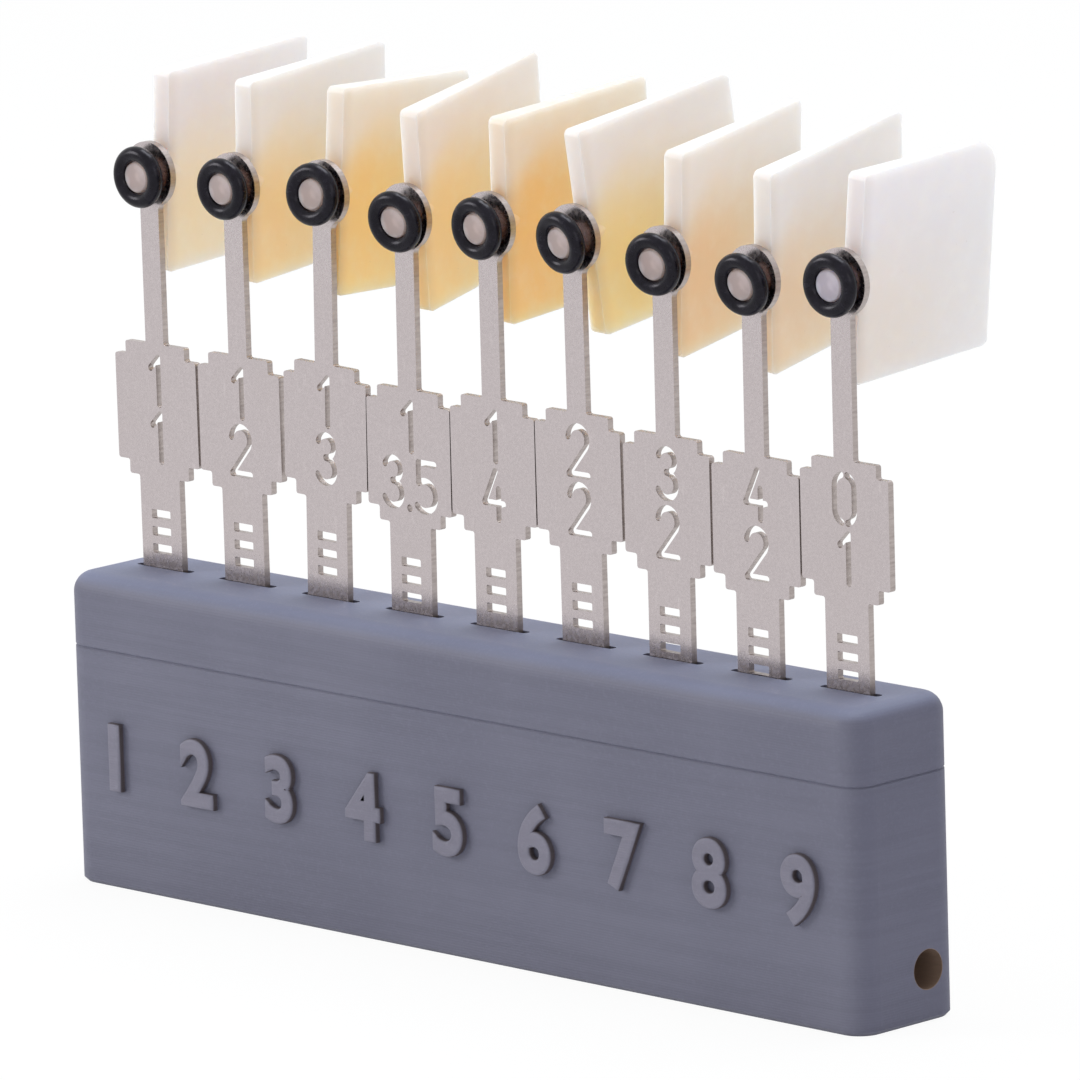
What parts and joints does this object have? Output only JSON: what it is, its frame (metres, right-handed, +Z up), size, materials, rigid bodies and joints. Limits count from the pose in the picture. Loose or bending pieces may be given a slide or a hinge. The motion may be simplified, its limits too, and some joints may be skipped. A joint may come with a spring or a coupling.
{
  "type": "dental shade guide",
  "caption": "Rack of translucent tooth-colour samples: each turns on a peg gripped by a rubber ring in a numbered sheet-metal tab that stands in a slotted block.",
  "frame": {"origin": "centre of the holder's flat bottom face", "axes": "+X along the row of tabs from tab 1 to tab 9, +Y from the holder's front to its back, where the samples reach, +Z up"},
  "size_m": [0.1058, 0.0296, 0.0824],
  "materials": {
    "printed_grey": "3-D printed, fine layer lines, matte bluish grey",
    "sheet_metal": "laser-cut stainless sheet, fine satin speckle, slightly dark cut edges",
    "black_rubber": "smooth moulded nitrile, soft sheen",
    "shade_1": "translucent, satin, deeper colour towards the core and the lower half",
    "shade_2": "translucent, satin, deeper colour towards the core and the lower half",
    "shade_3": "translucent, satin, deeper colour towards the core and the lower half",
    "shade_4": "translucent, satin, deeper colour towards the core and the lower half",
    "shade_5": "translucent, satin, deeper colour towards the core and the lower half",
    "shade_6": "translucent, satin, deeper colour towards the core and the lower half",
    "shade_7": "translucent, satin, deeper colour towards the core and the lower half",
    "shade_8": "translucent, satin, deeper colour towards the core and the lower half",
    "shade_9": "translucent, satin, deeper colour towards the core and the lower half"
  },
  "bodies": {
    "holder": {"holder_body": "printed_grey", "holder_cover": "printed_grey", "tab_1": "sheet_metal", "tab_2": "sheet_metal", "tab_3": "sheet_metal", "tab_4": "sheet_metal", "tab_5": "sheet_metal", "tab_6": "sheet_metal", "tab_7": "sheet_metal", "tab_8": "sheet_metal", "tab_9": "sheet_metal"},
    "sample_1_with_ring": {"sample_1": "shade_1", "o_ring_1": "black_rubber"},
    "sample_2_with_ring": {"sample_2": "shade_2", "o_ring_2": "black_rubber"},
    "sample_3_with_ring": {"sample_3": "shade_3", "o_ring_3": "black_rubber"},
    "sample_4_with_ring": {"sample_4": "shade_4", "o_ring_4": "black_rubber"},
    "sample_5_with_ring": {"sample_5": "shade_5", "o_ring_5": "black_rubber"},
    "sample_6_with_ring": {"sample_6": "shade_6", "o_ring_6": "black_rubber"},
    "sample_7_with_ring": {"sample_7": "shade_7", "o_ring_7": "black_rubber"},
    "sample_8_with_ring": {"sample_8": "shade_8", "o_ring_8": "black_rubber"},
    "sample_9_with_ring": {"sample_9": "shade_9", "o_ring_9": "black_rubber"}
  },
  "joints": [
    {"name": "sample_1_turn", "type": "hinge", "parent": "holder", "child": "sample_1_with_ring", "pos_m": [-0.046, 0.0004, 0.06945], "axis": [-0.0349, 0.9984, 0.0436], "range_deg": [-20, 20]},
    {"name": "sample_2_turn", "type": "hinge", "parent": "holder", "child": "sample_2_with_ring", "pos_m": [-0.03435, 0.0004, 0.06955], "axis": [-0.0609, 0.9963, 0.061], "range_deg": [-20, 20]},
    {"name": "sample_3_turn", "type": "hinge", "parent": "holder", "child": "sample_3_with_ring", "pos_m": [-0.02206, 0.0004, 0.07014], "axis": [-0.1216, 0.9907, -0.061], "range_deg": [-20, 20]},
    {"name": "sample_4_turn", "type": "hinge", "parent": "holder", "child": "sample_4_with_ring", "pos_m": [-0.01098, 0.0004, 0.06905], "axis": [-0.1291, 0.9806, 0.1478], "range_deg": [-20, 20]},
    {"name": "sample_5_turn", "type": "hinge", "parent": "holder", "child": "sample_5_with_ring", "pos_m": [0.0002, 0.0004, 0.06945], "axis": [-0.0087, 0.9975, 0.0698], "range_deg": [-20, 20]},
    {"name": "sample_6_turn", "type": "hinge", "parent": "holder", "child": "sample_6_with_ring", "pos_m": [0.01138, 0.0004, 0.06945], "axis": [0.0518, 0.9877, 0.1478], "range_deg": [-17, 20]},
    {"name": "sample_7_turn", "type": "hinge", "parent": "holder", "child": "sample_7_with_ring", "pos_m": [0.0231, 0.0004, 0.06865], "axis": [-0.1384, 0.9848, 0.1045], "range_deg": [-20, 17]},
    {"name": "sample_8_turn", "type": "hinge", "parent": "holder", "child": "sample_8_with_ring", "pos_m": [0.03462, 0.0004, 0.0681], "axis": [-0.0603, 0.9858, 0.1564], "range_deg": [-20, 20]},
    {"name": "sample_9_turn", "type": "hinge", "parent": "holder", "child": "sample_9_with_ring", "pos_m": [0.04593, 0.0004, 0.06905], "axis": [-0.0697, 0.9972, 0.0262], "range_deg": [-20, 20]}
  ]
}
